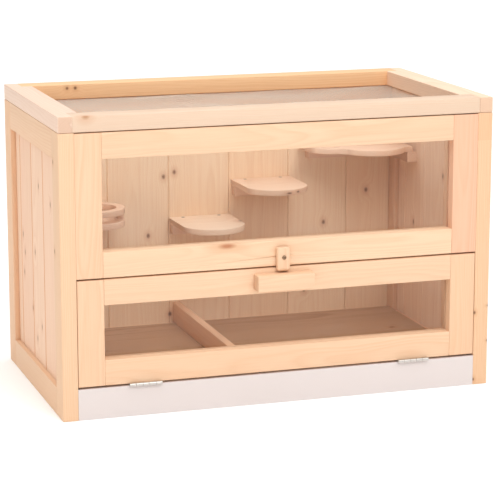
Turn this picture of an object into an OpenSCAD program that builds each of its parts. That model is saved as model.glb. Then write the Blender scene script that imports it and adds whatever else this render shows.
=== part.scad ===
// Small wooden cage for hamsters: a timber box with a glazed window and a fold-down glazed door,
// a hinged mesh lid, three shelves, a bowl holder and a floor divider.
// Origin: centre of the footprint at floor level. +X right, +Y back, +Z up; the front is at -Y.

/* [Overall] */
// Width over the side frames
cage_w = 810; // [700:5:1100]
// Depth over the front and back frames
cage_d = 450; // [390:5:700]
// Height from the floor to the top of the lid
cage_h = 540; // [500:5:750]

/* [Timber] */
// Thickness of the posts and of all frame rails
frame_t = 28; // [24:1:34]
// Width of each corner post, seen from the side
post_w = 50; // [40:1:64]
// Height of the top and bottom rails of the side and back frames
frame_rail_h = 50; // [40:1:60]
// Thickness of the tongue-and-groove boards
board_t = 8; // [7:0.5:10]
// Visible width of one whole board of the back wall, and the widest floor board
board_w = 124; // [90:1:150]
// Visible width of one whole side board
side_board_w = 96; // [80:1:130]
// Distance that the boards sit in from the outer face of their frame
board_recess = 10; // [6:0.5:12]
// Distance of the first side board seam behind the front face
side_seam_start = 78; // [74:1:120]
// Distance of the first back board seam from the left outer face
back_seam_start = 70; // [60:1:110]

/* [Front] */
// Height of the white plinth board
plinth_h = 56; // [50:1:70]
// Thickness of the plinth board
plinth_t = 18; // [16:0.5:22]
// Height of the top edge of the fold-down door
door_top = 251; // [235:1:270]
// Width of the upright stiles of the window and the door
stile_w = 48; // [38:1:60]
// Height of the rails of the window and the door
rail_h = 46; // [40:1:52]
// Thickness of the clear acrylic panes
pane_t = 3; // [2:0.5:4]
// Distance of the panes behind the front face
pane_inset = 20; // [12:0.5:20]

/* [Lid] */
// Thickness of the lid frame
lid_t = 28; // [24:1:34]
// Width of the lid rails
lid_rail_w = 45; // [42:1:60]
// Width of the part of each lid side rail that runs through to the front and the back
lid_lap_w = 25; // [15:1:30]
// Thickness of the welded mesh with its crossing wires
mesh_t = 1.6; // [1.2:0.1:2.4]
// Distance of the mesh's edges inside the side frames
mesh_clear = 5; // [2:0.5:5]

/* [Floor] */
// Height of the top of the floor boards
floor_top = 54; // [50:1:56]
// Thickness of the floor boards
floor_t = 10; // [8:0.5:14]
// Width of the battens under the floor
batten_w = 20; // [15:1:30]
// Height of the battens under the floor
batten_h = 24; // [16:1:28]
// Distance of the divider's left face from the left outer face
divider_start = 325; // [200:5:400]
// Thickness of the divider
divider_t = 15; // [12:1:20]
// Height of the divider above the floor boards
divider_h = 40; // [30:1:60]

/* [Shelves] */
// Thickness of every shelf plate
shelf_t = 12; // [10:0.5:16]
// Side of the square cleats under the shelves
cleat_s = 20; // [16:1:26]
// Width of the low and the middle shelf
shelf_w = 123; // [110:1:140]
// Depth of these shelves at their straight sides
shelf_side_d = 100; // [80:1:110]
// Depth of these shelves at the middle of their curved front
shelf_mid_d = 148; // [130:1:155]
// Distance of the low shelf from the left outer face
shelf_low_start = 320; // [300:1:325]
// Height of the top of the low shelf
shelf_low_top = 266; // [240:1:290]
// Distance of the middle shelf from the left outer face
shelf_middle_start = 448; // [444:1:460]
// Height of the top of the middle shelf
shelf_middle_top = 335; // [310:1:350]
// Height of the top of the high corner shelf
shelf_high_top = 403; // [385:1:415]
// Length of the high corner shelf along the back wall
shelf_high_w = 196; // [190:1:204]

/* [Bowl holder] */
// Distance of the ring's centre from the left outer face
bowl_start = 160; // [150:1:200]
// Outer radius of the ring and of the base plate
bowl_outer_r = 54; // [48:1:60]
// Radius of the hole for the bowl
bowl_hole_r = 37; // [30:0.5:40]
// Height of the top of the ring
bowl_top = 305; // [280:1:340]
// Space between the ring and the base plate
bowl_gap = 12; // [8:1:20]

/* [Handle and turn button] */
// Length of the door handle
handle_l = 107; // [80:1:140]
// Height of the door handle
handle_h = 29; // [20:1:29]
// Distance that the handle stands out of the door
handle_proud = 27; // [18:1:32]
// Width of the turn button
button_w = 25; // [20:1:26]
// Length of the turn button
button_l = 44; // [40:1:44]
// Thickness of the turn button
button_t = 11; // [8:0.5:14]
// Height of the button's pivot above the window's lower edge
button_pivot_up = 17; // [16:0.5:20]

/* [Hinges] */
// Length of each hinge
hinge_l = 60; // [50:1:80]
// Width of a hinge leaf
leaf_w = 16; // [14:0.5:16]
// Thickness of a hinge leaf
leaf_t = 1.2; // [1:0.1:1.4]
// Radius of the hinge knuckles
knuckle_r = 3.2; // [3:0.1:3.6]
// Radius of the hinge pins
pin_r = 1.5; // [1.2:0.1:1.6]
// Distance of each hinge's middle from the nearer outer face
hinge_inset = 150; // [120:5:220]

/* [Gaps] */
// Gap between the plinth and the door, filled by the folded hinge
hinge_gap = 4; // [3.6:0.1:5]
// Gap between the door and the window, which the door's top edge swings through
swing_gap = 3; // [3:0.5:5]
// Gap at each side of the door
door_side_gap = 1; // [0.5:0.1:2]
// Gap between the lid and the posts
lid_gap = 0.5; // [0.4:0.1:1]
// Gap between the window and the lid
window_top_gap = 2; // [1:0.5:4]

/* [Hidden] */
$fn = 64;
wide_fn = 128;                // facets of the wide circles

// Clearances and small sizes
cut = 1;                      // how far a cut runs past the face that it opens
board_seat = 8;               // depth of the grooves that hold the boards
board_clear = 0.2;            // play of a board in its groove, each side
seam_gap = 0.4;               // gap between the shoulders of two boards
tongue_l = 5;                 // length of a board's tongue
tongue_clear = 0.3;           // play of a tongue in its groove, each side
seam_chamfer_in = 1.6;        // chamfer along each board's long edges, inside the cage
seam_chamfer_out = 2.2;       // the same on the outside
narrowest_board = 30;         // a narrower last board is left joined to its neighbour
pane_seat = 7;                // depth of the panes in their frames
pane_clear = 0.2;             // play of a pane in its groove, each side
floor_clear = 1;              // gap between the floor boards and the frames
door_clear = 2;               // gap between the divider and the closed door
knuckle_gap = 0.2;            // gap between the knuckles and the face beside them
knuckle_end_gap = 0.3;        // gap between two neighbouring knuckles, each side
knuckles = 5;                 // knuckles on one hinge: three on the fixed leaf, two on the moving one
pin_clear_fixed = 0.02;       // the pin is tight in the fixed leaf
pin_clear_moving = 0.05;      // and turns freely in the moving leaf
lid_leaf_off = knuckle_r + knuckle_gap - leaf_t;  // leaf face to axis, leaves opened flat
screw_clear = 0.05;           // play round every screw
shelf_end_gap = 0.5;          // gap between the high shelf and the post beside it
hinge_screw_l = 13;           // length of the hinge screws
hinge_screw_r = 1.5;          // radius of the hinge screws
hinge_head_r = 2.9;           // radius of their countersunk heads
hinge_screw_at = [0.2, 0.8];  // their places along a hinge, as shares of its length
shelf_screw_l = 27;           // length of the shelf screws
shelf_screw_r = 1.8;          // radius of the shelf screws
shelf_head_r = 3.6;           // radius of their countersunk heads
shelf_head_h = 2.2;           // depth of their countersunk heads
shelf_screw_at = [0.2, 0.8];  // their places along a shelf, as shares of its width
button_gap = 0.3;             // gap behind the turn button
button_round = 4;             // radius of the turn button's corners
button_lap = 5;               // how far the upright button reaches down over the door
button_screw_r = 2.2;         // radius of the pivot screw
button_head_r = 3.8;          // radius of its round head
button_head_h = 2.6;          // height of its round head
button_screw_l = 20;          // how far it goes into the rail
staple_w = 10;                // width of a staple's back
staple_t = 1.2;               // thickness of a staple's wire
staple_h = 3;                 // height of a staple, half of it in the rail
staples_long = 8;             // staples along the front and the back
staples_short = 4;            // staples along each side

// Places, worked out from the sizes above
half_w = cage_w / 2;
hinge_out = knuckle_r + knuckle_gap;                  // hinge axis to the timber face beside it
hinge_proud = hinge_out + knuckle_r;
front_proud = max(handle_proud, hinge_proud);
front_y = -(cage_d + hinge_proud - front_proud) / 2;  // outer face of the front
back_y = front_y + cage_d;                            // outer face of the back
lid_z = cage_h - lid_t;                               // underside of the lid frame
post_top = lid_z - lid_gap;
post_in = half_w - frame_t;                           // inner faces of the side frames
wall_x = half_w - board_recess - board_t;             // inner faces of the side boards
back_in = back_y - frame_t;                           // inner face of the back frame
wall_y = back_y - board_recess - board_t;             // inner face of the back boards
front_in = front_y + frame_t;                         // inner face of the window and the door
door_z = plinth_h + hinge_gap;
window_z = door_top + swing_gap;
window_top = lid_z - window_top_gap;
door_x = post_in - door_side_gap;                     // outer edges of the door
floor_z = floor_top - floor_t;
button_z = window_z + button_pivot_up;
button_up = button_l - button_pivot_up - swing_gap - button_lap;  // pivot to the button's upper end
door_axis = [0, front_y - hinge_out, plinth_h + hinge_gap / 2];
door_leaf_off = hinge_gap / 2 - leaf_t;               // leaf face to axis, leaves folded shut
lid_axis = [0, back_y + hinge_out, lid_z - lid_gap / 2];
hinge_x = half_w - hinge_inset;
mesh_seat = lid_rail_w - frame_t - mesh_clear;       // width of mesh held under each lid rail
lid_in_x = half_w - lid_rail_w;
lid_in_front = front_y + lid_rail_w;
lid_in_back = back_y - lid_rail_w;

// Colours
pine = "#FBDDB9";
pine_pale = "#FDE6CC";
pine_side = "#F2CEB4";
pine_inner = "#E3B793";
laminate = "#F3E9E6";
acrylic = [0.85, 0.9, 0.92, 0.3];
zinc = "#D9D6D2";
dark_steel = "#5A4A42";

// ---------- Shared shapes ----------

// Rectangular block between two opposite corners
module block(from, to) {
    translate(from) cube(to - from);
}

// Countersunk screw with its head's flat face at z = 0, pointing down, grown by play on the radius
module countersunk(length, radius, head_r, head_h, play = 0) {
    translate([0, 0, -length]) cylinder(h = length, r = radius + play);
    translate([0, 0, -head_h]) cylinder(h = head_h, r1 = radius + play, r2 = head_r + play);
}

// Edges of a row of boards from low to high, with a seam at start and every pitch after it
function seams(low, high, start, pitch) = concat(
    [low],
    [for (s = [start : pitch : high]) if (s > low + narrowest_board && s < high - narrowest_board) s],
    [high]
);

// Outline of one board across its width, seen from its end, with a groove and a tongue. Its inner
// face is at y = 0.
module board_outline(width, first, last) {
    tongue_t = board_t / 3;
    side = first ? 0 : seam_gap;
    in_0 = first ? 0 : seam_chamfer_in;
    in_1 = last ? 0 : seam_chamfer_in;
    out_0 = first ? 0 : seam_chamfer_out;
    out_1 = last ? 0 : seam_chamfer_out;
    difference() {
        union() {
            polygon([
                [side + in_0, 0], [width - in_1, 0], [width, in_1],
                [width, board_t - out_1], [width - out_1, board_t],
                [side + out_0, board_t], [side, board_t - out_0], [side, in_0]
            ]);
            if (!last) translate([width - cut, (board_t - tongue_t) / 2]) square([tongue_l + cut, tongue_t]);
        }
        if (!first) {
            translate([side - cut, (board_t - tongue_t) / 2 - tongue_clear])
                square([tongue_l + cut + tongue_clear, tongue_t + 2 * tongue_clear]);
        }
    }
}

// Row of tongue-and-groove boards: across from low to high along X, rising by the given height
module board_row(low, high, start, pitch, height) {
    edges = seams(low, high, start, pitch);
    count = len(edges) - 1;
    for (i = [0 : count - 1]) {
        translate([edges[i], 0, 0])
            linear_extrude(height) board_outline(edges[i + 1] - edges[i], i == 0, i == count - 1);
    }
}

// Space for a board panel in the frame round it: the panel grown by its play
module board_slot(from, to) {
    play = [board_clear, board_clear, board_clear];
    block(from - play, to + play);
}

// Hinge leaf with its knuckles. The axis runs along X through the origin; the leaf runs along +Y,
// and its near face is at z = off. The fixed leaf has the odd knuckles, the moving one the even.
module hinge_leaf(off, moving) {
    pitch = hinge_l / knuckles;
    bore_r = pin_r + (moving ? pin_clear_moving : pin_clear_fixed);
    difference() {
        union() {
            translate([-hinge_l / 2, hinge_out, off]) cube([hinge_l, leaf_w, leaf_t]);
            for (i = [moving ? 1 : 0 : 2 : knuckles - 1]) {
                translate([-hinge_l / 2 + i * pitch + knuckle_end_gap, 0, 0]) {
                    rotate([0, 90, 0]) cylinder(h = pitch - 2 * knuckle_end_gap, r = knuckle_r);
                    translate([0, 0, off]) cube([pitch - 2 * knuckle_end_gap, hinge_out + cut, leaf_t]);
                }
            }
        }
        translate([-hinge_l / 2 - cut, 0, 0]) rotate([0, 90, 0]) cylinder(h = hinge_l + 2 * cut, r = bore_r);
        hinge_screws(off, screw_clear);
    }
}

// Screws of one leaf, in the same frame: heads on the leaf's near face, pointing away from the axis
module hinge_screws(off, play = 0) {
    for (share = hinge_screw_at) {
        translate([(share - 0.5) * hinge_l, hinge_out + leaf_w / 2, off]) mirror([0, 0, 1])
            countersunk(hinge_screw_l, hinge_screw_r, hinge_head_r, leaf_t, play);
    }
}

module hinge_pin() {
    translate([-hinge_l / 2, 0, 0]) rotate([0, 90, 0]) cylinder(h = hinge_l, r = pin_r);
}

// Places of the hinge halves: sx is -1 on the left and 1 on the right
module at_door_fixed(sx) {
    translate(door_axis + [sx * hinge_x, 0, 0]) mirror([0, 0, 1]) children();
}
module at_door_moving(sx) {
    translate(door_axis + [sx * hinge_x, 0, 0]) children();
}
module at_lid_fixed(sx) {
    translate(lid_axis + [sx * hinge_x, 0, 0]) rotate([-90, 0, 0]) mirror([0, 0, 1]) children();
}
module at_lid_moving(sx) {
    translate(lid_axis + [sx * hinge_x, 0, 0]) rotate([90, 0, 0]) children();
}

// Screw holes that the hinges need in the timber round them
module door_fixed_holes() {
    for (sx = [-1, 1]) at_door_fixed(sx) hinge_screws(door_leaf_off, screw_clear);
}
module door_moving_holes() {
    for (sx = [-1, 1]) at_door_moving(sx) hinge_screws(door_leaf_off, screw_clear);
}
module lid_fixed_holes() {
    for (sx = [-1, 1]) at_lid_fixed(sx) hinge_screws(lid_leaf_off, screw_clear);
}
module lid_moving_holes() {
    for (sx = [-1, 1]) at_lid_moving(sx) hinge_screws(lid_leaf_off, screw_clear);
}

// ---------- Side and back frames ----------

// Spaces of the board panels, cut out of every frame piece that they reach
module side_slot(sx) {
    outer = sx * (half_w - board_recess);
    inner = sx * wall_x;
    board_slot(
        [min(outer, inner), front_y + post_w - board_seat, frame_rail_h - board_seat],
        [max(outer, inner), back_y - post_w + board_seat, post_top - frame_rail_h + board_seat]
    );
}
module back_slot() {
    board_slot(
        [-post_in - board_seat, wall_y, frame_rail_h - board_seat],
        [post_in + board_seat, wall_y + board_t, post_top - frame_rail_h + board_seat]
    );
}

// One corner post; sx and sy pick the corner
module post(sx, sy) {
    outer = sx * half_w;
    inner = sx * post_in;
    face = sy < 0 ? front_y : back_y;
    side = face - sy * post_w;
    color(pine) difference() {
        block([min(outer, inner), min(face, side), 0], [max(outer, inner), max(face, side), post_top]);
        side_slot(sx);
        back_slot();
    }
}
module post_front_left() { post(-1, -1); }
module post_front_right() { post(1, -1); }
module post_back_left() { post(-1, 1); }
module post_back_right() { post(1, 1); }

// Side rail between the posts, from the given height up
module side_rail(sx, z) {
    outer = sx * half_w;
    inner = sx * post_in;
    color(pine_side) difference() {
        block(
            [min(outer, inner), front_y + post_w, z],
            [max(outer, inner), back_y - post_w, z + frame_rail_h]
        );
        side_slot(sx);
    }
}
module side_top_rail_left() { side_rail(-1, post_top - frame_rail_h); }
module side_top_rail_right() { side_rail(1, post_top - frame_rail_h); }
module side_bottom_rail_left() { side_rail(-1, 0); }
module side_bottom_rail_right() { side_rail(1, 0); }

module side_boards(sx) {
    height = post_top - 2 * frame_rail_h + 2 * board_seat;
    color(pine_side)
        translate([sx * wall_x, front_y, frame_rail_h - board_seat])
        mirror([sx < 0 ? 1 : 0, 0, 0]) mirror([1, 0, 0]) rotate([0, 0, 90])
        board_row(post_w - board_seat, cage_d - post_w + board_seat, side_seam_start, side_board_w, height);
}
module side_boards_left() { side_boards(-1); }
module side_boards_right() { side_boards(1); }

// Back rail between the side frames, from the given height up
module back_rail(z) {
    difference() {
        block([-post_in, back_in, z], [post_in, back_y, z + frame_rail_h]);
        back_slot();
    }
}
module back_top_rail() {
    color(pine) difference() {
        back_rail(post_top - frame_rail_h);
        lid_fixed_holes();
    }
}
module back_bottom_rail() { color(pine) back_rail(0); }

module back_boards() {
    height = post_top - 2 * frame_rail_h + 2 * board_seat;
    color(pine_inner)
        translate([-half_w, wall_y, frame_rail_h - board_seat])
        board_row(frame_t - board_seat, cage_w - frame_t + board_seat, back_seam_start, board_w, height);
}

// ---------- Floor ----------

module floor_boards() {
    depth = cage_d - plinth_t - frame_t - 2 * floor_clear;
    count = ceil(depth / board_w);
    pitch = depth / count;
    color(pine_inner) for (i = [0 : count - 1]) {
        translate([-post_in + floor_clear, front_y + plinth_t + floor_clear + i * pitch, floor_z])
            cube([2 * (post_in - floor_clear), pitch - seam_gap, floor_t]);
    }
}

// Three battens from the plinth to the back rail, under the ends and the middle of the boards
module floor_battens() {
    color(pine_side) for (x = [-post_in, -batten_w / 2, post_in - batten_w]) {
        block([x, front_y + plinth_t, floor_z - batten_h], [x + batten_w, back_in, floor_z]);
    }
}

module plinth() {
    color(laminate) difference() {
        block([-post_in, front_y, 0], [post_in, front_y + plinth_t, plinth_h]);
        door_fixed_holes();
    }
}

module divider() {
    x = divider_start - half_w;
    color(pine) block([x, front_in + door_clear, floor_top], [x + divider_t, wall_y, floor_top + divider_h]);
}

// ---------- Window and door frames ----------

// Groove for a pane behind an opening between two heights
module pane_block(side_x, z0, z1, play) {
    in = side_x - stile_w + pane_seat;
    block(
        [-in - play, front_y + pane_inset - play, z0 + rail_h - pane_seat - play],
        [in + play, front_y + pane_inset + pane_t + play, z1 - rail_h + pane_seat + play]
    );
}

// Stile of a glazed frame that is side_x wide each way from the middle
module stile(side_x, sx, z0, z1) {
    outer = sx * side_x;
    inner = sx * (side_x - stile_w);
    difference() {
        block([min(outer, inner), front_y, z0], [max(outer, inner), front_in, z1]);
        pane_block(side_x, z0, z1, pane_clear);
    }
}

// Rail of the same frame, between the stiles, from height z up
module rail(side_x, z, z0, z1) {
    in = side_x - stile_w;
    difference() {
        block([-in, front_y, z], [in, front_in, z + rail_h]);
        pane_block(side_x, z0, z1, pane_clear);
    }
}

module window_stile_left() { color(pine) stile(post_in, -1, window_z, window_top); }
module window_stile_right() { color(pine) stile(post_in, 1, window_z, window_top); }
module window_top_rail() { color(pine) rail(post_in, window_top - rail_h, window_z, window_top); }
module window_bottom_rail() {
    color(pine) difference() {
        rail(post_in, window_z, window_z, window_top);
        button_screw(screw_clear);
    }
}
module window_pane() { color(acrylic) pane_block(post_in, window_z, window_top, 0); }

module door_stile_left() {
    color(pine) difference() {
        stile(door_x, -1, door_z, door_top);
        door_moving_holes();
    }
}
module door_stile_right() {
    color(pine) difference() {
        stile(door_x, 1, door_z, door_top);
        door_moving_holes();
    }
}
module door_top_rail() { color(pine) rail(door_x, door_top - rail_h, door_z, door_top); }
module door_bottom_rail() {
    color(pine) difference() {
        rail(door_x, door_z, door_z, door_top);
        door_moving_holes();
    }
}
module door_pane() { color(acrylic) pane_block(door_x, door_z, door_top, 0); }

module door_handle() {
    top = door_top - (rail_h - handle_h) / 2;
    color(pine) block([-handle_l / 2, front_y - handle_proud, top - handle_h], [handle_l / 2, front_y, top]);
}

// Turn button, upright, with its lower end over the door; the bore is for the pivot screw
module turn_button() {
    corner_x = button_w / 2 - button_round;
    corner_up = button_up - button_round;
    corner_down = button_l - button_up - button_round;
    color(pine_pale) translate([0, front_y - button_gap, button_z]) rotate([90, 0, 0]) difference() {
        linear_extrude(button_t) union() {
            translate([-corner_x, -corner_down - button_round]) square([2 * corner_x, button_l]);
            translate([-button_w / 2, -corner_down]) square([button_w, corner_down + corner_up]);
            for (x = [-corner_x, corner_x], y = [-corner_down, corner_up]) {
                translate([x, y]) circle(button_round);
            }
        }
        translate([0, 0, -cut]) cylinder(h = button_t + 2 * cut, r = button_screw_r + pin_clear_moving);
    }
}

// Its pivot screw, with the same small gap under the head as behind the button
module button_screw(play) {
    translate([0, front_y - 2 * button_gap - button_t, button_z]) rotate([90, 0, 0]) {
        cylinder(h = button_head_h, r = button_head_r);
        translate([0, 0, -button_screw_l - button_t])
            cylinder(h = button_screw_l + button_t, r = button_screw_r + play);
    }
}
module turn_button_screw() { color(dark_steel) button_screw(0); }

// ---------- Shelves ----------

// Plan of a shelf with straight sides and an arc at the front: back edge on Y = 0, front at -Y
module shelf_plan() {
    rise = shelf_mid_d - shelf_side_d;
    arc_r = (pow(shelf_w / 2, 2) + pow(rise, 2)) / (2 * rise);
    translate([0, -shelf_side_d]) square([shelf_w, shelf_side_d]);
    intersection() {
        translate([shelf_w / 2, arc_r - shelf_mid_d]) circle(arc_r, $fn = wide_fn);
        translate([0, -shelf_mid_d]) square([shelf_w, shelf_mid_d - shelf_side_d / 2]);
    }
}

// Screws that hold a shelf of the given width on its cleat, with the shelf's corner at the origin
module shelf_screw_pair(width, play = 0) {
    for (share = shelf_screw_at) {
        translate([share * width, -cleat_s / 2, 0])
            countersunk(shelf_screw_l, shelf_screw_r, shelf_head_r, shelf_head_h, play);
    }
}

module small_shelf(start, top) {
    color(pine_pale) translate([start - half_w, wall_y, top]) difference() {
        translate([0, 0, -shelf_t]) linear_extrude(shelf_t) shelf_plan();
        shelf_screw_pair(shelf_w, screw_clear);
    }
}
module small_cleat(start, top) {
    color(pine_pale) translate([start - half_w, wall_y, top]) difference() {
        translate([0, -cleat_s, -shelf_t - cleat_s]) cube([shelf_w, cleat_s, cleat_s]);
        shelf_screw_pair(shelf_w, screw_clear);
    }
}
module shelf_low() { small_shelf(shelf_low_start, shelf_low_top); }
module shelf_low_cleat() { small_cleat(shelf_low_start, shelf_low_top); }
module shelf_middle() { small_shelf(shelf_middle_start, shelf_middle_top); }
module shelf_middle_cleat() { small_cleat(shelf_middle_start, shelf_middle_top); }

// Wavy front of the corner shelf: a small and a large lobe joined by a hollow of radius hollow_r.
// Plan with the shelf's back corner at the origin, running to -X along the back boards and to -Y.
small_lobe_r = 46;
large_lobe_r = 66;
hollow_r = 26;
corner_d = 124;            // depth of the shelf at its right end
small_lobe_off = 58;       // centre of the small lobe to the back boards
large_lobe_off = 89;       // centre of the large lobe to the back boards
large_lobe_in = 6;         // how far the large lobe stays inside the shelf's right end
small_lobe = [-shelf_high_w + small_lobe_r, -small_lobe_off];
large_lobe = [-large_lobe_r - large_lobe_in, -large_lobe_off];
arc_steps = 14;            // straight pieces in each arc

// Centre of the circle that touches two others: ra and rb from their centres a and b
function touching(a, ra, b, rb) = let (
    d = norm(b - a),
    u = (b - a) / d,
    along = (ra * ra - rb * rb + d * d) / (2 * d),
    aside = sqrt(ra * ra - along * along)
) a + along * u + aside * [u[1], -u[0]];
function bearing(from, to) = atan2(to[1] - from[1], to[0] - from[0]);
function arc(centre, r, a0, a1) = [
    for (i = [0 : arc_steps]) let (a = a0 + (a1 - a0) * i / arc_steps) centre + r * [cos(a), sin(a)]
];

module high_shelf_plan() {
    hollow = touching(small_lobe, small_lobe_r + hollow_r, large_lobe, large_lobe_r + hollow_r);
    small_end = bearing(small_lobe, hollow);
    large_start = bearing(large_lobe, hollow);
    large_end = asin((-corner_d - large_lobe[1]) / large_lobe_r);
    polygon(concat(
        [[0, 0], [-shelf_high_w, 0]],
        arc(small_lobe, small_lobe_r, -180, small_end),
        arc(hollow, hollow_r, small_end + 180, large_start + 180),
        arc(large_lobe, large_lobe_r, large_start, large_end),
        [[0, -corner_d]]
    ));
}

high_cleat_l = 180;   // length of the back cleat
side_cleat_l = 90;    // length of the side cleat
side_screw_in = 5;    // side screw to the shelf's edge

// The shelf ends level with the posts' inner faces, just short of the side boards
module at_high_shelf() {
    translate([post_in - shelf_end_gap, wall_y, shelf_high_top]) children();
}

// Two screws into the back cleat and one into the side cleat
module high_screws(play = 0) {
    side_y = board_recess + board_t - post_w;
    for (at = [
        [-high_cleat_l + cleat_s, -cleat_s / 2],
        [-cleat_s, -cleat_s / 2],
        [-side_screw_in, side_y - side_cleat_l / 2]
    ]) translate(at) countersunk(shelf_screw_l, shelf_screw_r, shelf_head_r, shelf_head_h, play);
}

module shelf_high() {
    color(pine_pale) at_high_shelf() difference() {
        translate([0, 0, -shelf_t]) linear_extrude(shelf_t) high_shelf_plan();
        high_screws(screw_clear);
    }
}

module shelf_high_cleats() {
    under = shelf_high_top - shelf_t - cleat_s;
    side_end = back_y - post_w - shelf_end_gap;
    color(pine_pale) difference() {
        union() {
            block([post_in - high_cleat_l, wall_y - cleat_s, under], [post_in, wall_y, under + cleat_s]);
            block([wall_x - cleat_s, side_end - side_cleat_l, under], [wall_x, side_end, under + cleat_s]);
        }
        at_high_shelf() high_screws(screw_clear);
    }
}

module shelf_screws() {
    color(zinc) {
        translate([shelf_low_start - half_w, wall_y, shelf_low_top]) shelf_screw_pair(shelf_w);
        translate([shelf_middle_start - half_w, wall_y, shelf_middle_top]) shelf_screw_pair(shelf_w);
        at_high_shelf() high_screws();
    }
}

// ---------- Bowl holder ----------

bowl_seat = 2;       // how much of the circle is planed off, to lie flat on the wall
spacer_s = 12;       // side of the two small spacers
spacer_back_w = 26;  // width of the spacer at the wall

// Plan of the ring and the base: a circle with its back planed flat against the wall
module bowl_plan() {
    intersection() {
        translate([0, bowl_seat - bowl_outer_r]) circle(bowl_outer_r, $fn = wide_fn);
        translate([-bowl_outer_r, -2 * bowl_outer_r]) square([2 * bowl_outer_r, 2 * bowl_outer_r]);
    }
}
module at_bowl(below) {
    translate([bowl_start - half_w, wall_y, bowl_top - below]) children();
}
module bowl_ring() {
    color(pine_pale) at_bowl(shelf_t) difference() {
        linear_extrude(shelf_t) bowl_plan();
        translate([0, bowl_seat - bowl_outer_r, -cut])
            cylinder(h = shelf_t + 2 * cut, r = bowl_hole_r, $fn = wide_fn);
    }
}
module bowl_base() {
    color(pine_pale) at_bowl(2 * shelf_t + bowl_gap) linear_extrude(shelf_t) bowl_plan();
}
module bowl_spacers() {
    reach = (bowl_outer_r + bowl_hole_r) / 2;
    color(pine_pale) at_bowl(shelf_t + bowl_gap) {
        for (sx = [-1, 1]) translate([sx * reach - spacer_s / 2, bowl_seat - bowl_outer_r - spacer_s / 2, 0])
            cube([spacer_s, spacer_s, bowl_gap]);
        translate([-spacer_back_w / 2, -spacer_s, 0]) cube([spacer_back_w, spacer_s, bowl_gap]);
    }
}

// ---------- Hinges ----------

module door_hinge_fixed_leaf(sx) { color(zinc) at_door_fixed(sx) hinge_leaf(door_leaf_off, false); }
module door_hinge_moving_leaf(sx) { color(zinc) at_door_moving(sx) hinge_leaf(door_leaf_off, true); }
module lid_hinge_fixed_leaf(sx) { color(zinc) at_lid_fixed(sx) hinge_leaf(lid_leaf_off, false); }
module lid_hinge_moving_leaf(sx) { color(zinc) at_lid_moving(sx) hinge_leaf(lid_leaf_off, true); }
module door_hinge_pins() { color(zinc) for (sx = [-1, 1]) at_door_fixed(sx) hinge_pin(); }
module lid_hinge_pins() { color(zinc) for (sx = [-1, 1]) at_lid_fixed(sx) hinge_pin(); }
module door_hinge_fixed_screws() {
    color(zinc) for (sx = [-1, 1]) at_door_fixed(sx) hinge_screws(door_leaf_off);
}
module door_hinge_moving_screws() {
    color(zinc) for (sx = [-1, 1]) at_door_moving(sx) hinge_screws(door_leaf_off);
}
module lid_hinge_fixed_screws() {
    color(zinc) for (sx = [-1, 1]) at_lid_fixed(sx) hinge_screws(lid_leaf_off);
}
module lid_hinge_moving_screws() {
    color(zinc) for (sx = [-1, 1]) at_lid_moving(sx) hinge_screws(lid_leaf_off);
}

// ---------- Lid ----------

// Each side rail runs through at its outer part and stops inside the front and back rails
module lid_side_rail(sx) {
    outer = sx * half_w;
    lap = sx * (half_w - lid_lap_w);
    inner = sx * lid_in_x;
    color(pine_pale) difference() {
        union() {
            block([min(outer, lap), front_y, lid_z], [max(outer, lap), back_y, cage_h]);
            block([min(outer, inner), lid_in_front, lid_z], [max(outer, inner), lid_in_back, cage_h]);
        }
        staple_set(screw_clear);
    }
}
module lid_cross_rail(y0, y1) {
    block([-half_w + lid_lap_w, y0, lid_z], [half_w - lid_lap_w, y1, cage_h]);
}
module lid_side_rail_left() { lid_side_rail(-1); }
module lid_side_rail_right() { lid_side_rail(1); }
module lid_front_rail() {
    color(pine_pale) difference() {
        lid_cross_rail(front_y, lid_in_front);
        staple_set(screw_clear);
    }
}
module lid_back_rail() {
    color(pine_pale) difference() {
        lid_cross_rail(lid_in_back, back_y);
        lid_moving_holes();
        staple_set(screw_clear);
    }
}
module lid_mesh() {
    color("silver") difference() {
        block(
            [-lid_in_x - mesh_seat, lid_in_front - mesh_seat, lid_z - mesh_t],
            [lid_in_x + mesh_seat, lid_in_back + mesh_seat, lid_z]
        );
        staple_set(screw_clear);
    }
}

// Staples that hold the edge of the mesh up to the rails: backs under the mesh, legs in the timber
module staple(play) {
    side = staple_t + 2 * play;
    translate([-staple_w / 2 - play, -side / 2, -mesh_t - staple_t - play])
        cube([staple_w + 2 * play, side, side]);
    for (x = [-staple_w / 2 - play, staple_w / 2 + play - side]) {
        translate([x, -side / 2, -mesh_t - staple_t - play])
            cube([side, side, mesh_t + staple_t + staple_h + 2 * play]);
    }
}
module staple_set(play = 0) {
    span_x = 2 * (lid_in_x - staple_w);
    span_y = lid_in_back - lid_in_front - 2 * staple_w;
    edge = mesh_seat / 2;
    for (i = [0 : staples_long - 1], y = [lid_in_front - edge, lid_in_back + edge]) {
        translate([-span_x / 2 + i * span_x / (staples_long - 1), y, lid_z]) staple(play);
    }
    for (i = [0 : staples_short - 1], x = [-lid_in_x - edge, lid_in_x + edge]) {
        translate([x, lid_in_front + staple_w + i * span_y / (staples_short - 1), lid_z])
            rotate([0, 0, 90]) staple(play);
    }
}
module lid_staples() { color(zinc) staple_set(); }

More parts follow.
